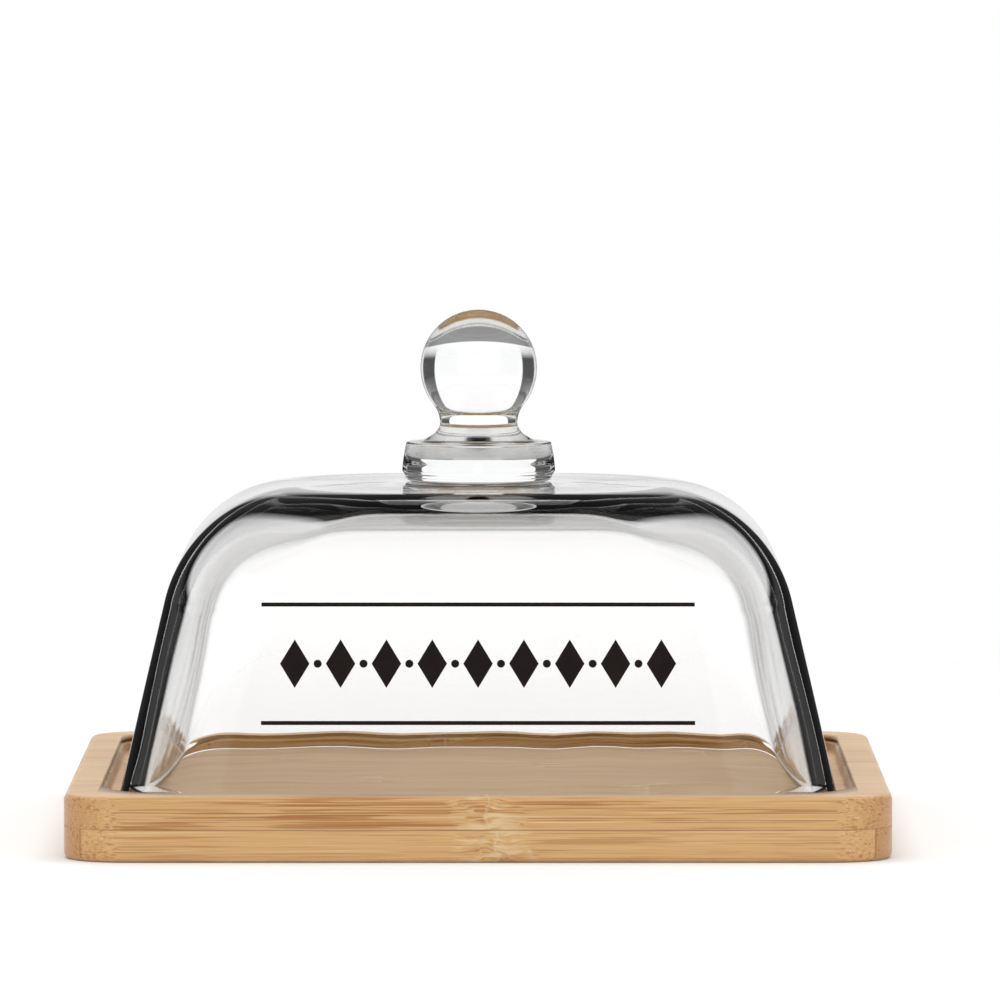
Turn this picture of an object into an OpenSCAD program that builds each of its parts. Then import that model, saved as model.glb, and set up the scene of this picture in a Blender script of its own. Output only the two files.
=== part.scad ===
// Square cheese dome: a pressed-glass cover with a ball knob, standing in the
// routed recess of a two-ply bamboo board.
// Millimetres. Origin at the centre of the board's underside, +Z up, the
// printed side of the glass faces -Y.

/* [Board] */
// Side of the square board
board_w = 185; // [175:1:220]
// Radius of the board's corners, seen from above
board_corner_r = 14; // [12:1:24]
// Thickness of each of the two bamboo plies
ply_t = 7.2; // [6:0.1:12]
// Thickness of the glue line between the plies
glue_t = 0.2; // [0.1:0.05:0.4]
// Rounding of the board's outer top and bottom edges
board_edge_r = 1.5; // [0.8:0.1:2.5]
// Width of the raised rim around the recess
rim_w = 8.4; // [7:0.1:9.5]
// Depth of the routed recess that the glass stands in
recess_depth = 3.2; // [2:0.1:5]

/* [Glass dome] */
// Outside width of the glass at its foot
dome_w = 162.2; // [158:0.2:163]
// Height of the glass, from its foot to the top of the shoulder
dome_h = 67.8; // [66:0.2:90]
// Lean of the flat walls from upright, in degrees
wall_lean = 13; // [8:0.2:16]
// Wall thickness of the glass
glass_t = 4.6; // [3.5:0.1:6]
// Radius of the shoulder, seen from the side
shoulder_r = 31; // [22:1:32]
// Corner radius of the glass at its foot, seen from above
dome_corner_r = 20; // [16:1:26]
// Rise of the crowned top between the shoulder and the knob
crown_rise = 0.6; // [0.2:0.1:2]

/* [Knob] */
// Diameter of the ball
ball_d = 26.8; // [24:0.2:32]
// Diameter of the neck at its narrowest
neck_d = 17.8; // [14:0.2:20]
// Largest diameter of the round foot
foot_d = 35.2; // [32:0.2:36]
// Height of the foot
foot_h = 8.8; // [6:0.2:12]
// Height of the whole knob, from the glass to the top of the ball
knob_h = 39.2; // [36:0.2:46]
// Thickness of the clear bond under the foot
bond_t = 0.2; // [0.1:0.05:0.4]

/* [Print] */
// Number of lozenges in the row
lozenges = 9; // [5:2:9]
// Height of a lozenge, along the sloping wall
lozenge_h = 11; // [6:0.2:14]
// Width of a lozenge
lozenge_w = 6.6; // [4:0.2:7]
// Distance between the two rules, along the sloping wall
rule_gap = 26.8; // [24:0.2:28]
// Length of the rules
rule_len = 97; // [90:1:97]
// Thickness of the rules
rule_w = 0.9; // [0.6:0.1:1.5]
// Height of the middle of the print above the foot of the glass
print_z = 31.6; // [30:0.2:33]
// Thickness of the ink film
ink_t = 0.12; // [0.1:0.01:0.2]

/* [Hidden] */

$fn = 96;
eps = 0.01;

// Heights
board_h = 2 * ply_t + glue_t;
recess_z = board_h - recess_depth;
pad_r = foot_d / 2 + 0.9;
dome_top_z = recess_z + dome_h + crown_rise;

// Recess: its corners follow the glass with the same gap as its sides
recess_w = board_w - 2 * rim_w;
recess_corner_r = dome_corner_r + (recess_w - dome_w) / 2;

// Edge roundings are drawn with this many steps in a quarter turn
edge_steps = 6;

// ---- Board -----------------------------------------------------------------

// Square of side w with round corners of radius r, centred
module round_square(w, r) {
    square([w, w - 2 * r], center = true);
    square([w - 2 * r, w], center = true);
    for (x = [-1, 1], y = [-1, 1])
        translate([x * (w / 2 - r), y * (w / 2 - r)]) circle(r = r);
}

// Section of a ply's edge from the corner's centre line outwards: its outer
// edge is rounded at the top, the glued side stays square
function ply_edge() = [
    [0, 0],
    [board_corner_r, 0],
    for (i = [0:edge_steps])
        let (a = 90 * i / edge_steps)
        [
            board_corner_r - board_edge_r * (1 - cos(a)),
            ply_t - board_edge_r * (1 - sin(a))
        ],
    [0, ply_t]
];

// One ply, glued face down at z = 0 and rounded edge up
module ply() {
    straight = board_w - 2 * board_corner_r;
    for (side = [0:3]) rotate([0, 0, 90 * side]) {
        translate([straight / 2, straight / 2, 0])
            rotate_extrude(angle = 90) polygon(ply_edge());
        translate([straight / 2, straight / 2, 0])
            rotate([90, 0, 0]) linear_extrude(straight) polygon(ply_edge());
    }
    translate([-straight / 2, -straight / 2, 0]) cube([straight, straight, ply_t]);
}

module board_upper_ply() {
    color("burlywood") difference() {
        translate([0, 0, board_h - ply_t]) ply();
        translate([0, 0, recess_z])
            linear_extrude(recess_depth + 1) round_square(recess_w, recess_corner_r);
    }
}

module board_glue_line() {
    color("saddlebrown") translate([0, 0, ply_t])
        linear_extrude(glue_t) round_square(board_w, board_corner_r);
}

module board_lower_ply() {
    color("tan") translate([0, 0, ply_t]) mirror([0, 0, 1]) ply();
}

// ---- Glass dome ------------------------------------------------------------
// The glass is a stack of round-cornered square rings. The profile gives each
// ring's half width and height: a straight leaning wall, the shoulder's arc,
// and a low crown up to the flat pad under the knob. The inner face has the
// same arc centre and lies one glass thickness inside.

corner_steps = 12;
shoulder_steps = 14;
crown_steps = 4;

// Centre of the shoulder's arc, from the foot of the outer wall
arc_z = dome_h - shoulder_r;
arc_x = dome_w / 2 - arc_z * tan(wall_lean) - shoulder_r / cos(wall_lean);

// Ring at the arc's angle a, at a distance in from the outer face
function arc_ring(a, inset) = [
    arc_x + (shoulder_r - inset) * cos(a),
    arc_z + (shoulder_r - inset) * sin(a)
];

// Foot of the wall at height 0, at a distance in from the outer face
function foot_ring(inset) = [dome_w / 2 - inset / cos(wall_lean), 0];

// Half width and height of every ring of one face, from the foot upwards
function face_rings(inset) = concat(
    [foot_ring(inset)],
    [for (i = [0:shoulder_steps])
        arc_ring(wall_lean + (90 - wall_lean) * i / shoulder_steps, inset)],
    [for (i = [1:crown_steps])
        let (
            t = i / crown_steps,
            half = arc_x + (pad_r - arc_x) * t
        )
        [half, dome_h - inset + crown_rise * (1 - pow(1 - t, 2))]]
);

// The corner radius grows from the foot value to a full circle at the pad
function corner_share(half) =
    let (
        foot_share = dome_corner_r / (dome_w / 2),
        shoulder_start = dome_w / 2 - (arc_z + shoulder_r * sin(wall_lean)) * tan(wall_lean),
        wall_t = min(1, max(0, (dome_w / 2 - half) / (dome_w / 2 - shoulder_start))),
        top_t = min(1, max(0, (shoulder_start - half) / (shoulder_start - pad_r)))
    )
    foot_share + 0.05 * wall_t + (1 - foot_share - 0.05) * pow(top_t, 1.4);

// Points of one ring, anticlockwise; inset moves the corner centres with it
function ring_points(ring, inset) =
    let (
        half = ring[0],
        r = max(1, half * corner_share(min(dome_w / 2, half + inset / cos(wall_lean))))
    )
    [for (k = [0:3], i = [0:corner_steps])
        let (a = 90 * k + 90 * i / corner_steps, mid = 90 * k + 45)
        [
            sign(cos(mid)) * (half - r) + r * cos(a),
            sign(sin(mid)) * (half - r) + r * sin(a),
            ring[1]
        ]];

module glass_dome() {
    n = 4 * (corner_steps + 1);
    outer = face_rings(0);
    inner = face_rings(glass_t);
    rings = len(outer);
    points = concat(
        [for (ring = outer) each ring_points(ring, 0)],
        [for (ring = inner) each ring_points(ring, glass_t)]
    );
    faces = concat(
        // outer face, facing out
        [for (j = [0:rings - 2], i = [0:n - 1])
            [j * n + i, (j + 1) * n + i, (j + 1) * n + (i + 1) % n, j * n + (i + 1) % n]],
        // inner face, facing in
        [for (j = [rings:2 * rings - 2], i = [0:n - 1])
            [j * n + i, j * n + (i + 1) % n, (j + 1) * n + (i + 1) % n, (j + 1) * n + i]],
        // flat foot between the two faces
        [for (i = [0:n - 1])
            [i, (i + 1) % n, rings * n + (i + 1) % n, rings * n + i]],
        // flat pad on top, and the ceiling below it
        [[for (i = [n - 1:-1:0]) (rings - 1) * n + i]],
        [[for (i = [0:n - 1]) (2 * rings - 1) * n + i]]
    );
    color("lightcyan", 0.4) translate([0, 0, recess_z])
        polyhedron(points, faces, convexity = 6);
}

// ---- Knob ------------------------------------------------------------------

// Half of the knob's outline from the axis at the foot to the top of the ball:
// a foot with a small lip, a concave flare up to the neck, then the ball
knob_lip_r = foot_d / 2 - 0.7;
foot_top_r = foot_d / 2 - 0.9;
flare_h = 4.4;
ball_r = ball_d / 2;
ball_z = knob_h - ball_r;
neck_r = neck_d / 2;
neck_z = foot_h + flare_h;

// The neck meets the ball through a concave arc that touches both: its centre
// lies outside the neck, at one height with the neck's narrowest place
neck_arc_r = (pow(ball_z - neck_z, 2) + pow(neck_r, 2) - pow(ball_r, 2))
    / (2 * (ball_r - neck_r));
neck_arc_end = atan2(ball_z - neck_z, neck_r + neck_arc_r);
outline_steps = 12;

function knob_outline() = concat(
    [[0, 0], [knob_lip_r - 0.9, 0]],
    // lip at the bottom edge
    [for (i = [0:edge_steps])
        let (a = -90 + 90 * i / edge_steps)
        [knob_lip_r - 0.9 + 0.9 * cos(a), 0.9 + 0.9 * sin(a)]],
    [[foot_d / 2, 2.3], [foot_d / 2 - 0.1, 3.2], [foot_top_r, foot_h]],
    // concave flare, a quarter of an ellipse
    [for (i = [1:outline_steps])
        let (a = 90 * i / outline_steps)
        [
            neck_r + (foot_top_r - neck_r) * (1 - sin(a)),
            foot_h + flare_h * (1 - cos(a))
        ]],
    // concave neck, turning from upright to the ball's slope
    [for (i = [1:outline_steps - 1])
        let (a = neck_arc_end * i / outline_steps)
        [
            neck_r + neck_arc_r * (1 - cos(a)),
            neck_z + neck_arc_r * sin(a)
        ]],
    // ball
    [for (i = [0:3 * outline_steps])
        let (a = -neck_arc_end + (90 + neck_arc_end) * i / (3 * outline_steps))
        [ball_r * cos(a), ball_z + ball_r * sin(a)]]
);

module glass_knob() {
    color("lightcyan", 0.5) translate([0, 0, dome_top_z + bond_t])
        rotate_extrude() polygon(knob_outline());
}

module knob_bond() {
    color("white", 0.3) translate([0, 0, dome_top_z])
        cylinder(h = bond_t, r = knob_lip_r - 1.5);
}

// ---- Print -----------------------------------------------------------------
// A plain ornament: a row of lozenges with a dot between each two, and a rule
// above and below it.

dot_r = 0.9;
// Room from the end of a rule to the middle of the last lozenge
row_margin = 7.5;
lozenge_pitch = (rule_len - 2 * row_margin) / (lozenges - 1);

// Puts a flat drawing on the outside of the front wall
module on_front_wall() {
    translate([0, -(dome_w / 2 - print_z * tan(wall_lean)), recess_z + print_z])
        rotate([90 - wall_lean, 0, 0]) linear_extrude(ink_t) children();
}

module print_rules() {
    color("black") on_front_wall()
        for (side = [-1, 1])
            translate([0, side * rule_gap / 2]) square([rule_len, rule_w], center = true);
}

// Centred on x = 0, y = 0
module lozenge() {
    w = lozenge_w / 2;
    h = lozenge_h / 2;
    polygon([[w, 0], [0, h], [-w, 0], [0, -h]]);
}

module print_lozenges() {
    middle = (lozenges - 1) / 2;
    color("black") on_front_wall() {
        for (i = [-middle:middle]) translate([i * lozenge_pitch, 0]) lozenge();
        for (i = [0:lozenges - 2])
            translate([(i + 0.5 - middle) * lozenge_pitch, 0]) circle(r = dot_r);
    }
}

board_upper_ply();
board_glue_line();
board_lower_ply();
glass_dome();
glass_knob();
knob_bond();
print_rules();
print_lozenges();
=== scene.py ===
from math import cos, pi, radians, sin, tan

import bpy
import numpy as np
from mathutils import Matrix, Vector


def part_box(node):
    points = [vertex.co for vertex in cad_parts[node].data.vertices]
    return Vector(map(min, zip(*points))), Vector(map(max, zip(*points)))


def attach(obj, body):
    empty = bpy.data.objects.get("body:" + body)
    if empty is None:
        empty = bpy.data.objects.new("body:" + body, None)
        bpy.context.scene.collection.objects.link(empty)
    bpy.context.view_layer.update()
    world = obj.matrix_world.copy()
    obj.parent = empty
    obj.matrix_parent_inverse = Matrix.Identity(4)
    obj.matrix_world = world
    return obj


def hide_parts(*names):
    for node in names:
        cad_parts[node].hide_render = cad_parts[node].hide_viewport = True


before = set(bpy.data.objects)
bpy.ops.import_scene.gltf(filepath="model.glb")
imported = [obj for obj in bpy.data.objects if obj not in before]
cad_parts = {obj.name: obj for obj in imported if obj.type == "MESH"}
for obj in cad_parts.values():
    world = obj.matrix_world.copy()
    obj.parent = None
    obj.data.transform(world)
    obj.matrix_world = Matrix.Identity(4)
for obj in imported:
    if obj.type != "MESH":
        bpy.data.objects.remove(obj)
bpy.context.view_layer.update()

# A square glass cheese dome with a ball knob, on a two-ply bamboo board.
# Everything is in metres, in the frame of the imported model: the board's
# underside lies on z = 0 and the printed side of the glass faces -Y.

MM = 0.001

# ---- Sizes read from the frame ---------------------------------------------

upper_low, upper_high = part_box("board_upper_ply")
lower_low, lower_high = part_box("board_lower_ply")
glass_low, glass_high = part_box("glass_dome")
knob_low, knob_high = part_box("glass_knob")

BOARD_HALF = upper_high.x
BOARD_TOP = upper_high.z
JOINT_LOW, JOINT_HIGH = lower_high.z, upper_low.z
RECESS_FLOOR = glass_low.z
GLASS_HALF = glass_high.x
GLASS_TOP = glass_high.z
KNOB_FOOT_R = knob_high.x
KNOB_LOW, KNOB_TOP = knob_low.z, knob_high.z

# ---- Sizes that the frame's boxes don't give -------------------------------

BOARD_CORNER_R = 14 * MM
BOARD_EDGE_R = 1.5 * MM
RIM_W = 8.4 * MM
RECESS_EDGE_R = 0.5 * MM
RECESS_FILLET_R = 1.0 * MM
JOINT_CHAMFER = 0.06 * MM

WALL_LEAN = radians(13)
GLASS_T = 4.6 * MM
SHOULDER_R = 31 * MM
GLASS_CORNER_R = 20 * MM
CROWN_RISE = 0.6 * MM
PAD_R = KNOB_FOOT_R + 0.9 * MM
FOOT_LIP_R = 1.1 * MM
RIPPLE_DEPTH = 0.035 * MM
RIPPLES, SLOW_RIPPLES = 31, 18  # waves in one trip round the glass
PAD_MIDDLE = 0.06  # the pad's last ring as a share of the pad, before its middle point
ROUNDEST = 0.98  # the pad's corner radius as a share of its half width, just short of a circle
AIR = 0.01 * MM  # the thinnest gap that keeps two clear faces apart

BALL_R = 13.4 * MM
NECK_R = 8.9 * MM
KNOB_FOOT_H = 8.8 * MM
FLARE_H = 4.4 * MM
KNOB_LIP = 0.7 * MM  # how far the knob's lowest edge lies inside its foot

# ---- Meshes from grids -----------------------------------------------------


def new_piece(name, points, quads, triangles, body, material, replaced=()):
    """A smooth-shaded mesh object from arrays of points and faces, riding on a CAD body."""
    mesh = bpy.data.meshes.new(name)
    mesh.from_pydata(points, [], [*quads.tolist(), *triangles.tolist()])
    mesh.polygons.foreach_set("use_smooth", np.ones(len(mesh.polygons), bool))
    mesh.materials.append(material)
    mesh.update()
    piece = bpy.data.objects.new(name, mesh)
    bpy.context.scene.collection.objects.link(piece)
    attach(piece, body)
    if replaced:
        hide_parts(*replaced)
    return piece


def ring_faces(rows, columns):
    """Quads between neighbouring rings of a grid whose last column meets its first, and a fan of
    triangles from each end ring to a pole point that follows the grid's points."""
    at = np.arange(rows * columns).reshape(rows, columns)
    beside = np.roll(at, -1, axis=1)
    quads = np.stack([at[:-1], at[1:], beside[1:], beside[:-1]], axis=-1).reshape(-1, 4)
    first, last = np.full(columns, rows * columns), np.full(columns, rows * columns + 1)
    fans = np.concatenate([
        np.stack([first, at[0], beside[0]], axis=-1),
        np.stack([last, beside[-1], at[-1]], axis=-1),
    ])
    return quads, fans


def with_poles(rings):
    """The grid's points in one list, then the middle of its first ring and of its last ring."""
    middles = np.stack([rings[0].mean(axis=0), rings[-1].mean(axis=0)])
    return np.concatenate([rings.reshape(-1, 3), middles])


CORNER_STEPS = 40
SIDE_STEPS = 24
CORNER_EASE = 40


def square_columns():
    """For every column of a round-cornered square: which way its corner centre lies along X and Y,
    from -1 to 1, and the cosine and sine of its place on the corner's arc. A corner's columns keep
    the centre and turn the angle by 90 degrees; a side's columns keep the angle and slide the
    centre from one corner to the next."""
    turn = np.linspace(0, pi / 2, CORNER_STEPS, endpoint=False)
    slide = np.linspace(0, 1, SIDE_STEPS, endpoint=False)
    corner = np.array([[1, 1], [-1, 1], [-1, -1], [1, -1]], float)
    centres, angles = [], []
    for k in range(4):
        here, there = corner[k], corner[(k + 1) % 4]
        centres += [np.tile(here, (CORNER_STEPS, 1)), here + slide[:, None] * (there - here)]
        angles += [turn + k * pi / 2, np.full(SIDE_STEPS, (k + 1) * pi / 2)]
    centres, angles = np.concatenate(centres), np.concatenate(angles)
    return centres, np.stack([np.cos(angles), np.sin(angles)], axis=-1)


def eased_columns():
    """Columns like square_columns, for corners that ease in and out of their bend as pressed
    glass does. The centres lie on the curve |x|^p + |y|^p = 1, and each direction is square to
    that curve. A side is stepped by place along it, and a corner by angle."""
    p = CORNER_EASE
    ends = radians(1.0)
    angle = np.linspace(ends, pi / 2 - ends, CORNER_STEPS, endpoint=False)
    turned = np.stack([np.cos(angle), np.sin(angle)], axis=-1) ** (1 / (p - 1))
    turned /= (turned**p).sum(axis=-1, keepdims=True) ** (1 / p)
    reach = turned[0, 1]
    along = np.linspace(-reach, reach, SIDE_STEPS, endpoint=False)
    side = np.stack([(1 - np.abs(along) ** p) ** (1 / p), along], axis=-1)
    quarter = np.concatenate([side, turned])
    square = np.sign(quarter) * np.abs(quarter) ** (p - 1)
    square /= np.linalg.norm(square, axis=-1, keepdims=True)
    quarter_turn = np.array([[0, 1], [-1, 0]])
    turns = [np.linalg.matrix_power(quarter_turn, k) for k in range(4)]
    return (np.concatenate([quarter @ turn for turn in turns]),
            np.concatenate([square @ turn for turn in turns]))


def square_rings(half, radius, height, columns):
    """Rings of a round-cornered square, one for each entry of the arrays: corner centre times
    (half width less corner radius), plus the radius along the column's direction."""
    centres, directions = columns
    flat = (half - radius)[:, None, None] * centres + radius[:, None, None] * directions
    tall = np.broadcast_to(height[:, None, None], (len(height), len(centres), 1))
    return np.concatenate([flat, tall], axis=-1)


def arc(centre_x, centre_z, radius, start, end, steps):
    """Points on a circle's arc in the profile plane, from the start angle to the end angle."""
    a = np.radians(np.linspace(start, end, steps))
    return np.stack([centre_x + radius * np.cos(a), centre_z + radius * np.sin(a)], axis=-1)


def smooth(t):
    """0 below 0, 1 above 1, and the cubic 3t^2 - 2t^3 between."""
    t = np.clip(t, 0, 1)
    return t * t * (3 - 2 * t)


def line(start, end, steps):
    """Evenly spaced points from start up to, and not including, end."""
    t = np.linspace(0, 1, steps, endpoint=False)[:, None]
    return np.asarray(start) * (1 - t) + np.asarray(end) * t


# ---- Material helpers ------------------------------------------------------


class Nodes:
    """Short forms for building a node tree, which starts out empty."""

    def __init__(self, tree):
        self.tree = tree
        self.tree.nodes.clear()

    def node(self, kind, **settings):
        """A new node, with any of its own settings."""
        made = self.tree.nodes.new(kind)
        for key, value in settings.items():
            setattr(made, key, value)
        return made

    def put(self, value, socket):
        """Links an output to the socket, or sets the socket to a plain value."""
        if isinstance(value, bpy.types.NodeSocket):
            self.tree.links.new(value, socket)
        else:
            socket.default_value = value

    def math(self, operation, a, b=0.0, c=0.0):
        """One sum, on numbers or outputs."""
        made = self.node("ShaderNodeMath", operation=operation)
        for value, socket in zip((a, b, c), made.inputs, strict=False):
            self.put(value, socket)
        return made.outputs[0]

    def remap(self, value, low, high, to_low=0.0, to_high=1.0, smooth=False):
        """The value's place from low to high, carried to the new range and kept inside it."""
        made = self.node("ShaderNodeMapRange", clamp=True)
        made.interpolation_type = "SMOOTHSTEP" if smooth else "LINEAR"
        for key, part in (("Value", value), ("From Min", low), ("From Max", high),
                          ("To Min", to_low), ("To Max", to_high)):
            self.put(part, made.inputs[key])
        return made.outputs[0]

    def mix(self, share, a, b):
        """Colour a where share is 0, colour b where it is 1."""
        made = self.node("ShaderNodeMix", data_type="RGBA")
        made.clamp_factor = True
        self.put(share, made.inputs[0])
        self.put(a, made.inputs[6])
        self.put(b, made.inputs[7])
        return made.outputs[2]

    def stretched(self, source, scale, offset=(0, 0, 0)):
        """Coordinates scaled along each axis, so a pattern draws out where the scale is low."""
        made = self.node("ShaderNodeMapping")
        self.put(source, made.inputs["Vector"])
        made.inputs["Scale"].default_value = scale
        made.inputs["Location"].default_value = offset
        return made.outputs[0]

    def noise(self, source, scale, detail=2.0, roughness=0.5, distortion=0.0):
        """Soft noise, from 0 to 1 with most of it near the middle."""
        made = self.node("ShaderNodeTexNoise")
        self.put(source, made.inputs["Vector"])
        made.inputs["Scale"].default_value = scale
        made.inputs["Detail"].default_value = detail
        made.inputs["Roughness"].default_value = roughness
        made.inputs["Distortion"].default_value = distortion
        return made.outputs[0]

    def bump(self, height, distance, strength=1.0):
        """A surface direction tilted by the slope of the height."""
        made = self.node("ShaderNodeBump")
        made.inputs["Strength"].default_value = strength
        made.inputs["Distance"].default_value = distance
        self.put(height, made.inputs["Height"])
        return made.outputs[0]


class Shader(Nodes):
    """One material's node tree."""

    def __init__(self, name):
        self.material = bpy.data.materials.new(name)
        self.material.use_nodes = True
        super().__init__(self.material.node_tree)
        self.out = self.node("ShaderNodeOutputMaterial")

    def finish(self, surface):
        """Puts the surface on the material's output, and gives the material back."""
        self.tree.links.new(surface, self.out.inputs["Surface"])
        return self.material


# ---- Bamboo ----------------------------------------------------------------

STRAW = (0.70, 0.425, 0.165, 1)
HONEY = (0.55, 0.285, 0.085, 1)
CARAMEL = (0.35, 0.110, 0.014, 1)
CREAM = (0.79, 0.59, 0.35, 1)
GOLDEN = 0.618


def bamboo(name, ply_low, ply_high, front_strip, strip, seed, tone_start, knuckle_x, stain_x,
           stain, streaks):
    """Laminated bamboo. Strips lie side by side along Y and run along X. Each has its own tone,
    fibre bundles many times longer than wide, pale and brown streaks, and one knuckle where the
    fibres swerve and fold, with a painted highlight on the fold crests and painted shade in the
    troughs. Cut across at the board's ends, the bundles show as dots. Brown streaks
    gather in a stretch of the front strip round stain_x."""
    s = Shader(name)
    place = s.node("ShaderNodeTexCoord").outputs["Object"]
    axes = s.node("ShaderNodeSeparateXYZ")
    s.put(place, axes.inputs[0])
    x, y, z = axes.outputs

    # which strip: the first is front_strip wide, the others strip wide
    from_front = s.math("ADD", y, BOARD_HALF - front_strip)
    number = s.math("ADD", s.math("FLOOR", s.math("DIVIDE", from_front, strip)), seed)
    tone_value = s.math("FRACT", s.math("MULTIPLY_ADD", number, GOLDEN, tone_start))
    seam = s.math("PINGPONG", from_front, strip / 2)
    seam_line = s.remap(seam, 0.0, 0.12 * MM, 1.0, 0.0)
    front = s.math("LESS_THAN", from_front, 0.0)

    # the knuckle of this strip: the fibres sway up and down near it, and fold; the fold crests carry a
    # painted highlight and the troughs painted shade
    elsewhere = s.math("MULTIPLY_ADD", tone_value, 0.16, -0.08)
    knuckle_at = s.math("ADD", s.math("MULTIPLY", s.math("SUBTRACT", 1.0, front), elsewhere),
                        s.math("MULTIPLY", front, knuckle_x))
    swirl = s.noise(s.stretched(place, (150, 330, 330)), 1.0, 2.0)
    beside = s.math("ADD", s.math("SUBTRACT", x, knuckle_at),
                    s.math("MULTIPLY", s.math("SUBTRACT", swirl, 0.5), 4.0 * MM))
    reach = s.math("ABSOLUTE", beside)
    near = s.remap(reach, 1.0 * MM, 11.0 * MM, 1.0, 0.0, smooth=True)
    ridge = s.remap(reach, 0.1 * MM, 0.7 * MM, 1.0, 0.0, smooth=True)
    wander = s.noise(s.stretched(place, (120, 190, 190), (seed, 0, 0)), 1.0, 1.0)
    sway = s.math("MULTIPLY", s.math("MULTIPLY", near, 3.2 * MM), s.math("SUBTRACT", wander, 0.5))
    bent = s.node("ShaderNodeCombineXYZ")
    s.put(s.math("MULTIPLY_ADD", number, 0.37, x), bent.inputs[0])
    s.put(s.math("ADD", y, sway), bent.inputs[1])
    s.put(s.math("ADD", z, sway), bent.inputs[2])
    fibre_place = bent.outputs[0]
    fold = s.noise(s.stretched(fibre_place, (110, 620, 620), (0, seed, 0)), 1.0, 1.0, 0.4, 0.6)
    # painted highlight on the fold crests and painted shade in the fold troughs, near the knuckle
    crest_highlight = s.math("MULTIPLY", s.remap(fold, 0.54, 0.64, smooth=True), near)
    trough_shade = s.math("MULTIPLY", s.remap(fold, 0.36, 0.47, 1.0, 0.0, smooth=True), near)

    # fibre bundles as rods along X, fine fibres, brown and pale streaks
    rods = s.node("ShaderNodeTexVoronoi", feature="F1")
    s.put(s.stretched(fibre_place, (55, 1250, 1250)), rods.inputs["Vector"])
    rods.inputs["Scale"].default_value = 1.0
    skin_up = s.math("SUBTRACT", s.math("MULTIPLY", s.math("ROUND", tone_value), 2.0), 1.0)
    height = s.remap(z, ply_low, ply_high, -1.0, 1.0)
    clump = s.noise(s.stretched(place, (60, 420, 420), (0, 0, seed)), 1.0, 1.0)
    rod_r = s.math("MULTIPLY_ADD", s.math("MULTIPLY", skin_up, height), 0.09,
                   s.remap(clump, 0.3, 0.7, 0.26, 0.46))
    rod = s.remap(rods.outputs["Distance"], s.math("SUBTRACT", rod_r, 0.20), rod_r, 1.0, 0.0,
                  smooth=True)
    fine = s.noise(s.stretched(fibre_place, (34, 4200, 4200)), 1.0, 2.0, 0.6)
    bundle = s.noise(s.stretched(fibre_place, (15, 1500, 1500)), 1.0, 2.0, 0.6)
    thread = s.noise(s.stretched(fibre_place, (26, 3300, 3300), (2, 0.3 * seed, 4)), 1.0, 1.0)
    broad = s.noise(s.stretched(fibre_place, (24, 1350, 1350), (0.7 * seed, 3.1, 1.7)), 1.0, 2.0)
    patch = s.noise(s.stretched(fibre_place, (20, 60, 150), (1.3, 0.4 * seed, 0)), 1.0, 1.0)
    stained = s.remap(s.math("ABSOLUTE", s.math("SUBTRACT", x, stain_x)), 8 * MM, 30 * MM,
                      stain, 0.0, smooth=True)
    stained = s.math("MULTIPLY", stained, front)
    level = s.math("ADD", s.math("MULTIPLY", stained, 0.12), s.remap(patch, 0.3, 0.7, -0.06, 0.04))
    brown = s.remap(s.math("ADD", broad, level), 0.57, 0.64, 0.0, 1.0, smooth=True)
    thin_brown = s.remap(s.math("ADD", thread, level), 0.57, 0.63, 0.0, 1.0, smooth=True)
    pale = s.remap(s.noise(s.stretched(fibre_place, (15, 2000, 2000), (5, 5, 5)), 1.0, 1.0),
                   0.62, 0.70)

    colour = s.mix(s.remap(tone_value, 0, 1, 0.0, 0.45), STRAW, HONEY)
    colour = s.mix(s.remap(bundle, 0.36, 0.66, 0.0, 0.50), colour, HONEY)
    colour = s.mix(s.remap(fine, 0.35, 0.75, 0.0, 0.35), colour, CREAM)
    colour = s.mix(s.math("MULTIPLY", pale, 0.60), colour, CREAM)
    colour = s.mix(s.math("MULTIPLY", thin_brown, streaks), colour, CARAMEL)
    colour = s.mix(s.math("MULTIPLY", brown, streaks), colour, CARAMEL)
    # painted highlight on the knuckle's fold crests, then painted shade in its troughs
    colour = s.mix(s.math("MULTIPLY", crest_highlight, 0.70), colour, CREAM)
    colour = s.mix(s.math("MULTIPLY", trough_shade, 0.35), colour, CARAMEL)
    colour = s.mix(s.math("MULTIPLY", s.math("MULTIPLY", ridge, wander), 0.9), colour, CREAM)
    colour = s.mix(s.math("MULTIPLY", seam_line, 0.40), colour, CARAMEL)

    # end grain, where the surface faces along X: the rods show as brown dots, dense on the skin
    # side of a strip and sparse on its inner side, and the strips part in tone and at seams
    normal = s.node("ShaderNodeSeparateXYZ")
    s.put(s.node("ShaderNodeNewGeometry").outputs["Normal"], normal.inputs[0])
    along_x = s.math("ABSOLUTE", normal.outputs[0])
    end_on = s.remap(along_x, 0.25, 0.80, 0.0, 1.0, smooth=True)
    square_on = s.remap(along_x, 0.90, 1.0, 0.0, 1.0)
    end_cut = s.math("MULTIPLY", end_on, s.remap(square_on, 0, 1, 1.0, 0.62))
    dots = s.math("MULTIPLY", rod, s.remap(end_cut, 0.0, 1.0, 0.14, 0.80))
    end_tone = s.remap(tone_value, 0.35, 1.0, 0.0, 0.36)
    colour = s.mix(s.math("MULTIPLY", end_on, 0.30), colour, HONEY)
    colour = s.mix(s.math("MULTIPLY", end_on, end_tone), colour, CARAMEL)
    colour = s.mix(dots, colour, CARAMEL)
    end_seam = s.math("MULTIPLY", s.remap(seam, 0.10 * MM, 0.30 * MM, 0.65, 0.0), end_on)
    colour = s.mix(end_seam, colour, CARAMEL)

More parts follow.
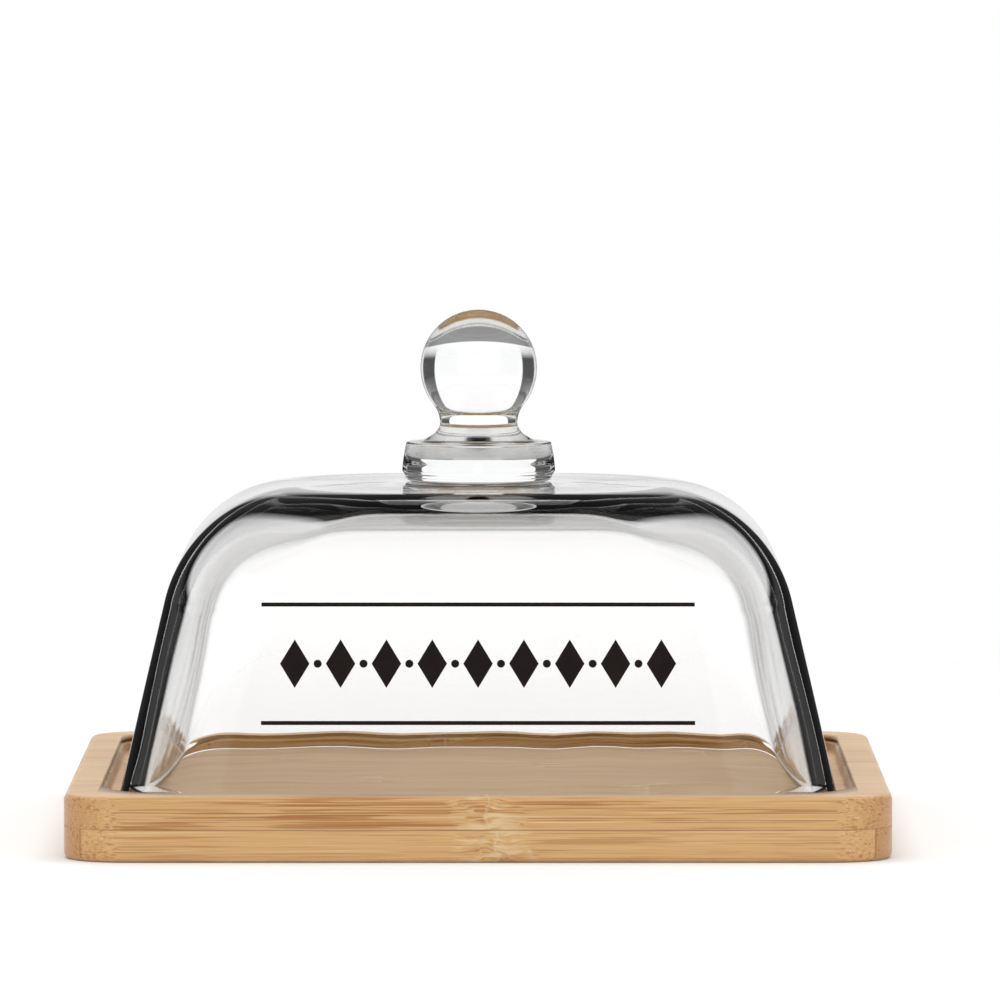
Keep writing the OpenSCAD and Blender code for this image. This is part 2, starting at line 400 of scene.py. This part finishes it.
    relief = s.math("MULTIPLY_ADD", fine, 0.4, s.math("MULTIPLY", bundle, 0.6))
    relief = s.math("SUBTRACT", relief, s.math("MULTIPLY", dots, 0.8))
    relief = s.math("SUBTRACT", relief, s.math("MULTIPLY", seam_line, 0.4))
    folds = s.math("MULTIPLY", s.math("ADD", s.remap(fold, 0.35, 0.65), ridge), near)
    relief = s.math("MULTIPLY_ADD", folds, 2.6, relief)
    shader = s.node("ShaderNodeBsdfPrincipled")
    s.put(colour, shader.inputs["Base Color"])
    s.put(s.remap(bundle, 0.3, 0.7, 0.56, 0.46), shader.inputs["Roughness"])
    s.put(s.bump(relief, 0.10 * MM, 0.6), shader.inputs["Normal"])
    shader.inputs["Specular IOR Level"].default_value = 0.45
    shader.inputs["Sheen Weight"].default_value = 0.30
    shader.inputs["Sheen Roughness"].default_value = 0.45
    return s.finish(shader.outputs[0])


def joint_glue():
    """Glue squeezed between the plies: brown, and darker in patches."""
    s = Shader("joint_glue")
    place = s.node("ShaderNodeTexCoord").outputs["Object"]
    patch = s.noise(s.stretched(place, (120, 120, 900)), 1.0, 3.0)
    shader = s.node("ShaderNodeBsdfPrincipled")
    s.put(s.mix(s.remap(patch, 0.35, 0.65), (0.36, 0.18, 0.065, 1), (0.48, 0.27, 0.12, 1)),
          shader.inputs["Base Color"])
    s.put(s.remap(patch, 0.3, 0.7, 0.45, 0.7), shader.inputs["Roughness"])
    s.put(s.bump(patch, 0.05 * MM, 0.5), shader.inputs["Normal"])
    return s.finish(shader.outputs[0])


# ---- Glass and ink ---------------------------------------------------------

GLASS_IOR = 1.51


def clear_glass(name, ripple_scale, ripple, tint_density):
    """Pressed soda-lime glass: clear, with the faint ripple that a mould leaves, and a grey-green
    tint that only shows through thick edges. Lamps shine through it, because the light that bends
    inside it would otherwise leave a hard shadow."""
    s = Shader(name)
    place = s.node("ShaderNodeTexCoord").outputs["Object"]
    shader = s.node("ShaderNodeBsdfPrincipled")
    shader.inputs["Base Color"].default_value = (1, 1, 1, 1)
    shader.inputs["Transmission Weight"].default_value = 1.0
    shader.inputs["IOR"].default_value = GLASS_IOR
    shader.inputs["Roughness"].default_value = 0.0
    wave = s.noise(place, ripple_scale, 1.0, 0.4)
    s.put(s.bump(wave, ripple, 1.0), shader.inputs["Normal"])
    through = s.node("ShaderNodeBsdfTransparent")
    through.inputs["Color"].default_value = (0.93, 0.95, 0.94, 1)
    lamps = s.node("ShaderNodeLightPath").outputs["Is Shadow Ray"]
    both = s.node("ShaderNodeMixShader")
    s.put(lamps, both.inputs[0])
    s.put(shader.outputs[0], both.inputs[1])
    s.put(through.outputs[0], both.inputs[2])
    tint = s.node("ShaderNodeVolumeAbsorption")
    tint.inputs["Color"].default_value = (0.80, 0.86, 0.84, 1)
    tint.inputs["Density"].default_value = tint_density
    s.tree.links.new(tint.outputs[0], s.out.inputs["Volume"])
    return s.finish(both.outputs[0])


def printed_ink():
    """Fired enamel ink: nearly black brown, with a slight orange peel and fine pinholes."""
    s = Shader("printed_ink")
    place = s.node("ShaderNodeTexCoord").outputs["Object"]
    grain = s.noise(place, 5200, 2.0)
    cloud = s.noise(place, 260, 2.0)
    shader = s.node("ShaderNodeBsdfPrincipled")
    tone = s.mix(s.remap(cloud, 0.3, 0.7), (0.006, 0.003, 0.003, 1), (0.012, 0.007, 0.006, 1))
    s.put(s.mix(s.remap(grain, 0.72, 0.78, 0.0, 0.5), tone, (0.04, 0.03, 0.028, 1)),
          shader.inputs["Base Color"])
    s.put(s.remap(cloud, 0.3, 0.7, 0.38, 0.55), shader.inputs["Roughness"])
    s.put(s.bump(grain, 0.02 * MM, 0.4), shader.inputs["Normal"])
    shader.inputs["Specular IOR Level"].default_value = 0.12
    return s.finish(shader.outputs[0])


# ---- Board -----------------------------------------------------------------


def ply_profile(low, high, rounded_top, recess):
    """Profile of one ply, as inset from the board's side and height: from the middle of its
    underside, out and round its edge, and back to the middle of its top or its recess."""
    r, c = BOARD_EDGE_R, JOINT_CHAMFER
    middle = BOARD_HALF - BOARD_CORNER_R * 0.2
    low_r, high_r = (c, r) if rounded_top else (r, c)
    parts = [
        line((middle, low), (low_r, low), 30),
        edge_turn(low_r, low + low_r, low_r, -90, 0),
        line((0, low + low_r), (0, high - high_r), 8)[1:],
        edge_turn(high_r, high - high_r, high_r, 0, 90),
    ]
    if not recess:
        return np.concatenate([*parts, line((high_r, high), (middle, high), 30)[1:]])
    e, f = RECESS_EDGE_R, RECESS_FILLET_R
    return np.concatenate([
        *parts,
        line((high_r, high), (RIM_W - e, high), 10)[1:],
        edge_turn(RIM_W - e, high - e, -e, 270, 180),
        line((RIM_W, high - e), (RIM_W, RECESS_FLOOR + f), 4)[1:],
        edge_turn(RIM_W + f, RECESS_FLOOR + f, f, 0, -90),
        line((RIM_W + f, RECESS_FLOOR), (middle, RECESS_FLOOR), 30)[1:],
    ])


def edge_turn(inset, height, radius, start, end):
    """An arc in the profile plane, where the inset grows inwards. A negative radius turns a
    convex edge that faces the recess."""
    a = np.radians(np.linspace(start, end, 8))
    return np.stack([inset - radius * np.cos(a), height + radius * np.sin(a)], axis=-1)


def make_ply(name, node, profile, material):
    """A ply: its profile swept round the board as round-cornered squares. The corner radius
    shrinks with the inset and is never less than a tenth of the corner's own. In the recess it
    follows the glass, with the same gap at the corners as at the sides."""
    inset, height = profile[:, 0], profile[:, 1]
    radius = np.maximum(BOARD_CORNER_R - inset, BOARD_CORNER_R * 0.1)
    if node == "board_upper_ply":
        second_half = np.arange(len(inset)) > len(inset) // 2
        in_recess = second_half & (inset > RIM_W - 2 * RECESS_EDGE_R)
        recess_r = GLASS_CORNER_R + BOARD_HALF - RIM_W - GLASS_HALF
        radius = np.where(in_recess, np.maximum(recess_r - (inset - RIM_W), 2 * MM), radius)
    rings = square_rings(BOARD_HALF - inset, np.minimum(radius, BOARD_HALF - inset), height,
                         square_columns())
    quads, fans = ring_faces(*rings.shape[:2])
    piece = new_piece(name, with_poles(rings), quads[:, ::-1], fans[:, ::-1], "board",
                      material, (node,))
    return piece


# ---- Glass dome ------------------------------------------------------------

ARC_Z = GLASS_TOP - CROWN_RISE - RECESS_FLOOR - SHOULDER_R
ARC_X = GLASS_HALF - ARC_Z * tan(WALL_LEAN) - SHOULDER_R / cos(WALL_LEAN)
SHOULDER_HALF = GLASS_HALF - (ARC_Z + SHOULDER_R * sin(WALL_LEAN)) * tan(WALL_LEAN)


def corner_share(half):
    """Corner radius as a share of the half width: the foot's own share, a little more up the
    wall, then growing over the shoulder and crown to a full circle at the pad."""
    foot = GLASS_CORNER_R / GLASS_HALF
    wall = np.clip((GLASS_HALF - half) / (GLASS_HALF - SHOULDER_HALF), 0, 1)
    top = np.clip((SHOULDER_HALF - half) / (SHOULDER_HALF - PAD_R), 0, 1)
    return foot + 0.05 * wall + (0.95 - foot) * top**1.4


def dome_face(inset, wall_steps, shoulder_steps, crown_steps):
    """One face of the glass, from the foot to the middle of the top: columns are half width,
    height above the foot and corner radius. The inner face is the outer one moved in by the
    glass thickness, and its corner radii shrink by as much as its half widths."""
    bend_r = SHOULDER_R - inset
    wall_top = ARC_Z + bend_r * sin(WALL_LEAN)
    wall = np.linspace(0, wall_top, wall_steps, endpoint=False)
    turn = np.linspace(WALL_LEAN, pi / 2, shoulder_steps)
    t = np.linspace(0, 1, crown_steps + 1)[1:]
    rise = ARC_Z + bend_r + CROWN_RISE * smooth(t)
    pad = PAD_R * np.linspace(1, PAD_MIDDLE, 8)[1:]
    outer = np.concatenate([GLASS_HALF - wall * tan(WALL_LEAN), ARC_X + SHOULDER_R * np.cos(turn),
                            ARC_X + (PAD_R - ARC_X) * t, pad])
    drop = np.concatenate([np.full(wall_steps, inset / cos(WALL_LEAN)), inset * np.cos(turn),
                           np.zeros(crown_steps + len(pad))])
    height = np.concatenate([wall, ARC_Z + bend_r * np.sin(turn), rise,
                             np.full(len(pad), rise[-1])])
    share = np.minimum(corner_share(outer), ROUNDEST)
    return np.stack([outer - drop, height, outer * share - drop], axis=-1)


def foot_lip(outer, inner):
    """The rounded foot between the two faces: a small arc in at the outer edge, a flat, and a
    small arc up at the inner edge."""
    r = FOOT_LIP_R
    out_half, in_half = outer[0, 0], inner[0, 0]
    turn = np.radians(np.linspace(0, 90, 9))
    outside = np.stack([out_half - r * (1 - np.cos(turn)), r * (1 - np.sin(turn))], axis=-1)
    inside = np.stack([in_half + r * (1 - np.cos(turn)), r * (1 - np.sin(turn))], axis=-1)[::-1]
    half_z = np.concatenate([outside, inside])
    radius = GLASS_CORNER_R - (GLASS_HALF - half_z[:, 0])
    return np.concatenate([half_z, radius[:, None]], axis=-1)


def make_glass_dome(material):
    """The pressed glass cover as one closed skin: from the middle of the outer pad down the
    outside, round the foot, and up the inside to the middle of the ceiling. The inside carries
    slow ripples: two sines of the way round the foot and the height, a few hundredths of a
    millimetre deep, pushed out square to the wall."""
    outer, inner = dome_face(0.0, 40, 72, 24), dome_face(GLASS_T, 40, 72, 24)
    lip = foot_lip(outer, inner)
    above = outer[:, 1] > FOOT_LIP_R * 1.05
    above_in = inner[:, 1] > FOOT_LIP_R * 1.05
    path = np.concatenate([outer[above][::-1], lip, inner[above_in]])
    side = np.concatenate([np.zeros(above.sum() + len(lip)), np.ones(above_in.sum())])
    half, radius = path[:, 0] - AIR, np.clip(path[:, 2], 0.0002, None)
    columns = eased_columns()
    rings = square_rings(half, np.minimum(radius, half), RECESS_FLOOR + AIR + path[:, 1], columns)
    z = rings[..., 2]
    foot = rings[np.argmax(half)]
    step = np.linalg.norm(np.roll(foot, -1, axis=0) - foot, axis=-1)
    round_trip = 2 * pi * (np.cumsum(step) - step) / step.sum()
    up = z - RECESS_FLOOR
    ripple = (np.sin(RIPPLES * round_trip + z / (11 * MM) + 1.0)
              + 0.7 * np.sin(SLOW_RIPPLES * round_trip - z / (6.5 * MM)))
    above_foot = smooth((up - 2 * MM) / (8 * MM))
    below_shoulder = smooth((55 * MM - up) / (25 * MM))
    push = RIPPLE_DEPTH * ripple * above_foot * below_shoulder * side[:, None]
    rings[..., :2] += push[..., None] * columns[1]
    quads, fans = ring_faces(*rings.shape[:2])
    piece = new_piece("glass_cover", with_poles(rings), quads, fans, "dome", material,
                      ("glass_dome",))
    return piece


# ---- Knob ------------------------------------------------------------------


def knob_outline():
    """Half of the knob's outline, as radius and height above its foot: a lip, the foot's side,
    a quarter ellipse up to the neck, an arc that touches neck and ball, and the ball."""
    lip_r = KNOB_FOOT_R - KNOB_LIP
    top_r = KNOB_FOOT_R - 0.9 * MM
    edge = 0.9 * MM
    ball_z = KNOB_TOP - KNOB_LOW - AIR - BALL_R
    neck_z = KNOB_FOOT_H + FLARE_H
    neck_arc = ((ball_z - neck_z) ** 2 + NECK_R**2 - BALL_R**2) / (2 * (BALL_R - NECK_R))
    meet = np.arctan2(ball_z - neck_z, NECK_R + neck_arc)
    rise = np.linspace(0, 1, 10)[1:-1]
    ledge = np.stack([lip_r + KNOB_LIP * smooth(rise), edge + 1.4 * MM * rise], axis=-1)
    climb = np.linspace(0, 1, 36)
    flank = np.stack([KNOB_FOOT_R - 0.9 * MM * (0.4 * climb + 0.6 * climb**2),
                      2.3 * MM + (KNOB_FOOT_H - 2.8 * MM) * climb], axis=-1)
    turn = np.linspace(0, pi / 2, 28)[1:]
    flare = np.stack([NECK_R + (top_r - 0.5 * MM - NECK_R) * (1 - np.sin(turn)),
                      KNOB_FOOT_H + FLARE_H * (1 - np.cos(turn))], axis=-1)
    bend = np.linspace(0, meet, 28)[1:-1]
    neck = np.stack([NECK_R + neck_arc * (1 - np.cos(bend)), neck_z + neck_arc * np.sin(bend)],
                    axis=-1)
    ball = np.linspace(-meet, pi / 2, 90)[:-1]
    return np.concatenate([
        line((0.3 * MM, 0), (lip_r - edge, 0), 14),
        arc(lip_r - edge, edge, edge, -90, 0, 14),
        ledge,
        flank,
        arc(top_r - 0.5 * MM, KNOB_FOOT_H - 0.5 * MM, 0.5 * MM, 0, 90, 12)[1:],
        flare,
        neck,
        np.stack([BALL_R * np.cos(ball), ball_z + BALL_R * np.sin(ball)], axis=-1),
    ])


def turned_rings(outline, low, columns):
    """A solid of revolution: every outline point carried round the Z axis, above height low."""
    turn = np.linspace(0, 2 * pi, columns, endpoint=False)
    radius, height = outline[:, 0, None], outline[:, 1, None]
    return np.stack([radius * np.cos(turn), radius * np.sin(turn),
                     low + height + 0 * turn], axis=-1)


def make_turned(name, node, outline, low, material):
    """A piece turned round the Z axis from its outline, riding with the glass."""
    rings = turned_rings(outline, low, 160)
    quads, fans = ring_faces(*rings.shape[:2])
    piece = new_piece(name, with_poles(rings), quads[:, ::-1], fans[:, ::-1], "dome", material,
                      (node,))
    return piece


def bond_outline():
    """A thin clear disc that fills the seam under the knob's foot, with a bulged edge."""
    thick = KNOB_LOW - GLASS_TOP - 2 * AIR
    wide = KNOB_FOOT_R - KNOB_LIP - 1.5 * MM
    return np.concatenate([
        line((0.3 * MM, 0), (wide, 0), 10),
        arc(wide, thick / 2, thick / 2, -90, 90, 9),
        line((wide, thick), (0.3 * MM, thick), 10)[1:],
    ])


# ---- Build -----------------------------------------------------------------

bamboo_top = bamboo("bamboo_top", JOINT_HIGH, BOARD_TOP, 17 * MM, 19 * MM, 3.0, 0.65, 2 * MM,
                    -22 * MM, 1.0, 0.58)
bamboo_bottom = bamboo("bamboo_bottom", lower_low.z, JOINT_LOW, 4.2 * MM, 18 * MM, 8.0, 0.03,
                       4 * MM, -60 * MM, 0.15, 0.38)
dome_glass = clear_glass("dome_glass", 60, 0.01 * MM, 3.0)
knob_glass = clear_glass("knob_glass", 90, 0.01 * MM, 6.0)
ink = printed_ink()

make_ply("upper_ply", "board_upper_ply", ply_profile(JOINT_HIGH, BOARD_TOP, True, True),
         bamboo_top)
make_ply("lower_ply", "board_lower_ply", ply_profile(lower_low.z, JOINT_LOW, False, False),
         bamboo_bottom)
make_glass_dome(dome_glass)
make_turned("ball_knob", "glass_knob", knob_outline(), KNOB_LOW + AIR, knob_glass)
make_turned("foot_bond", "knob_bond", bond_outline(), GLASS_TOP + 2 * AIR, knob_glass)


def refinish(node, material):
    """Gives a CAD node that is kept its finished material."""
    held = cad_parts[node]
    held.data.materials.clear()
    held.data.materials.append(material)


refinish("board_glue_line", joint_glue())
refinish("print_rules", ink)
refinish("print_lozenges", ink)

# ---- Stage, light and camera -----------------------------------------------

FLOOR_R = 0.7
KNOB_GREY_R = 0.28


def light_path(s):
    """How a ray came to the stage: straight from the lens, through one or two glass faces with
    no mirroring, mirrored inside one wall, mirrored on the outside of glass, or mirrored deep
    inside. Each is 1 where it holds, else 0. The second is meant for the knob, but it can't tell
    the knob from a single wall, so the lifted cover shows a dark panel from some sides."""
    path = s.node("ShaderNodeLightPath").outputs
    through, mirrored = path["Transmission Depth"], path["Glossy Depth"]
    was_through = s.math("GREATER_THAN", through, 0.5)
    was_mirrored = s.math("GREATER_THAN", mirrored, 0.5)
    once = s.math("MULTIPLY", was_through, s.math("LESS_THAN", through, 2.5))
    knob = s.math("MULTIPLY", once, s.math("SUBTRACT", 1.0, was_mirrored))
    inside = s.math("MULTIPLY", once, was_mirrored)
    deep = s.math("SUBTRACT", s.math("MULTIPLY", was_through, was_mirrored), inside)
    never = s.math("SUBTRACT", 1.0, was_through)
    outside = s.math("MULTIPLY", s.math("MULTIPLY", was_mirrored, never),
                     path["Is Singular Ray"])
    return path["Is Camera Ray"], knob, inside, outside, deep


def floor():
    """A round pale floor that fades out into the white surround towards its rim. Within
    KNOB_GREY_R it is dark grey to the rays that are meant for the knob, as no real floor is."""
    turn = np.linspace(0, 2 * pi, 96, endpoint=False)
    disc = np.stack([FLOOR_R * np.cos(turn), FLOOR_R * np.sin(turn), 0 * turn], axis=-1)
    mesh = bpy.data.meshes.new("floor")
    mesh.from_pydata(disc, [], [list(range(len(turn)))])
    s = Shader("floor_paper")
    place = s.node("ShaderNodeTexCoord").outputs["Object"]
    length = s.node("ShaderNodeVectorMath", operation="LENGTH")
    s.put(place, length.inputs[0])
    away = length.outputs["Value"]
    share = s.remap(away, 0.35 * FLOOR_R, 0.95 * FLOOR_R, 0.0, 1.0, smooth=True)
    knob = light_path(s)[1]
    near = s.remap(away, KNOB_GREY_R, KNOB_GREY_R + 0.01, 1.0, 0.0)
    paper = s.node("ShaderNodeBsdfDiffuse")
    s.put(s.mix(s.math("MULTIPLY", knob, near), (0.93, 0.93, 0.93, 1), (0.27, 0.27, 0.27, 1)),
          paper.inputs["Color"])
    clear = s.node("ShaderNodeBsdfTransparent")
    both = s.node("ShaderNodeMixShader")
    s.put(share, both.inputs[0])
    s.put(paper.outputs[0], both.inputs[1])
    s.put(clear.outputs[0], both.inputs[2])
    mesh.materials.append(s.finish(both.outputs[0]))
    piece = bpy.data.objects.new("floor", mesh)
    bpy.context.scene.collection.objects.link(piece)


def surround():
    """The studio round the object: white walls that face its four sides, grey corners between
    them and a grey ceiling. It isn't one real room. The lens sees plain white, and rays that
    passed through or were mirrored in glass meet views of their own, mostly dark flags with a
    narrow gap at each wall, which draw the glass edges as dark lines."""
    world = bpy.data.worlds.new("studio")
    bpy.context.scene.world = world
    world.use_nodes = True
    s = Nodes(world.node_tree)
    out = s.node("ShaderNodeOutputWorld")
    axes = s.node("ShaderNodeSeparateXYZ")
    s.put(s.node("ShaderNodeTexCoord").outputs["Generated"], axes.inputs[0])
    x, y, z = axes.outputs
    level = s.math("SQRT", s.math("ADD", s.math("MULTIPLY", x, x), s.math("MULTIPLY", y, y)))
    level = s.math("MAXIMUM", level, 0.0001)
    from_y = s.math("DIVIDE", s.math("ABSOLUTE", x), level)
    from_x = s.math("DIVIDE", s.math("ABSOLUTE", y), level)

    def wall(half_y, half_x, soft):
        """1 within the given angles of the Y and X directions, else 0."""
        edges = [s.remap(side, sin(radians(half)) - soft, sin(radians(half)) + soft, 1.0, 0.0)
                 for side, half in ((from_y, half_y), (from_x, half_x))]
        return s.math("MAXIMUM", *edges)

    def between(low, high, soft):
        """1 for directions from the low to the high elevation, else 0."""
        a, b = sin(radians(low)), sin(radians(high))
        return s.math("MULTIPLY", s.remap(z, a - soft, a + soft), s.remap(z, b - soft, b + soft, 1, 0))

    def blend(share, a, b):
        """a where share is 0, b where it is 1."""
        return s.math("ADD", s.math("MULTIPLY", s.math("SUBTRACT", 1.0, share), a),
                      s.math("MULTIPLY", share, b))

    ground = s.remap(z, -0.03, -0.01, 1.0, 0.0)
    plain = s.math("MULTIPLY", wall(33, 22, 0.02), between(-90, 58, 0.04))
    plain = blend(s.math("MAXIMUM", plain, ground), 0.30, 1.17)
    knob_wall = s.math("MULTIPLY", wall(38, 22, 0.01), between(-22, 66, 0.01))
    knob_dim = blend(between(-25, 25, 0.25), 0.30, 0.09)
    knob_view = blend(knob_wall, knob_dim, 1.08)
    slit = s.math("MULTIPLY", wall(13, 13, 0.02), between(-10, 6, 0.03))
    flags = s.math("ADD", s.remap(z, 0.12, 0.22, 0.05, 0.002), s.remap(z, -0.2, -0.1, 0.5, 0.0))
    corners = s.math("MULTIPLY", s.math("SUBTRACT", 1.0, wall(9, 9, 0.03)), between(17, 62, 0.04))
    inside_view = blend(slit, blend(corners, flags, 0.75), 1.1)
    sky_slit = s.math("MULTIPLY", wall(5, 5, 0.02), between(-30, 11, 0.05))
    outside_view = blend(sky_slit, 0.05, 0.85)

    seen, knob, inside, outside, deep = light_path(s)
    glow = blend(knob, plain, knob_view)
    glow = s.math("MULTIPLY", glow, blend(deep, 1.0, 0.5))
    glow = blend(inside, glow, inside_view)
    glow = blend(outside, glow, outside_view)
    glow = blend(seen, glow, 1.0)
    shade = s.node("ShaderNodeBackground")
    shade.inputs["Color"].default_value = (1, 1, 1, 1)
    s.put(glow, shade.inputs["Strength"])
    s.tree.links.new(shade.outputs[0], out.inputs["Surface"])


def soft_lamp(name, place, aim, size, power):
    """A square soft lamp that lights matt surfaces and doesn't mirror itself in the glass."""
    data = bpy.data.lights.new(name, "AREA")
    data.shape, data.size, data.energy = "SQUARE", size, power
    lamp = bpy.data.objects.new(name, data)
    bpy.context.scene.collection.objects.link(lamp)
    lamp.location = place
    away = np.array(place) - np.array(aim)
    flat = float(np.hypot(away[0], away[1]))
    lamp.rotation_euler = (float(np.arctan2(flat, away[2])), 0,
                           float(np.arctan2(away[0], -away[1])))
    lamp.visible_glossy = False
    lamp.visible_transmission = False
    return lamp


def camera():
    """A long lens a little above the table, in front of the printed side."""
    rise, distance = radians(3.4), 2.49
    aim_x, aim_z = 4.9 * MM, 75.3 * MM
    data = bpy.data.cameras.new("camera")
    data.sensor_width, data.lens = 36, 389.3
    data.clip_start, data.clip_end = 0.05, 50
    eye = bpy.data.objects.new("camera", data)
    bpy.context.scene.collection.objects.link(eye)
    eye.location = (aim_x, -distance * cos(rise), aim_z + distance * sin(rise))
    eye.rotation_euler = (pi / 2 - rise, 0, 0)
    bpy.context.scene.camera = eye


floor()
surround()
soft_lamp("lamp_above", (0, 0, 1.3), (0, 0, 0), 1.6, 12)
camera()

scene = bpy.context.scene
scene.view_settings.view_transform = "Standard"
scene.view_settings.look = "None"
scene.cycles.max_bounces = 24
scene.cycles.transmission_bounces = 24
scene.cycles.transparent_max_bounces = 24
scene.cycles.glossy_bounces = 8
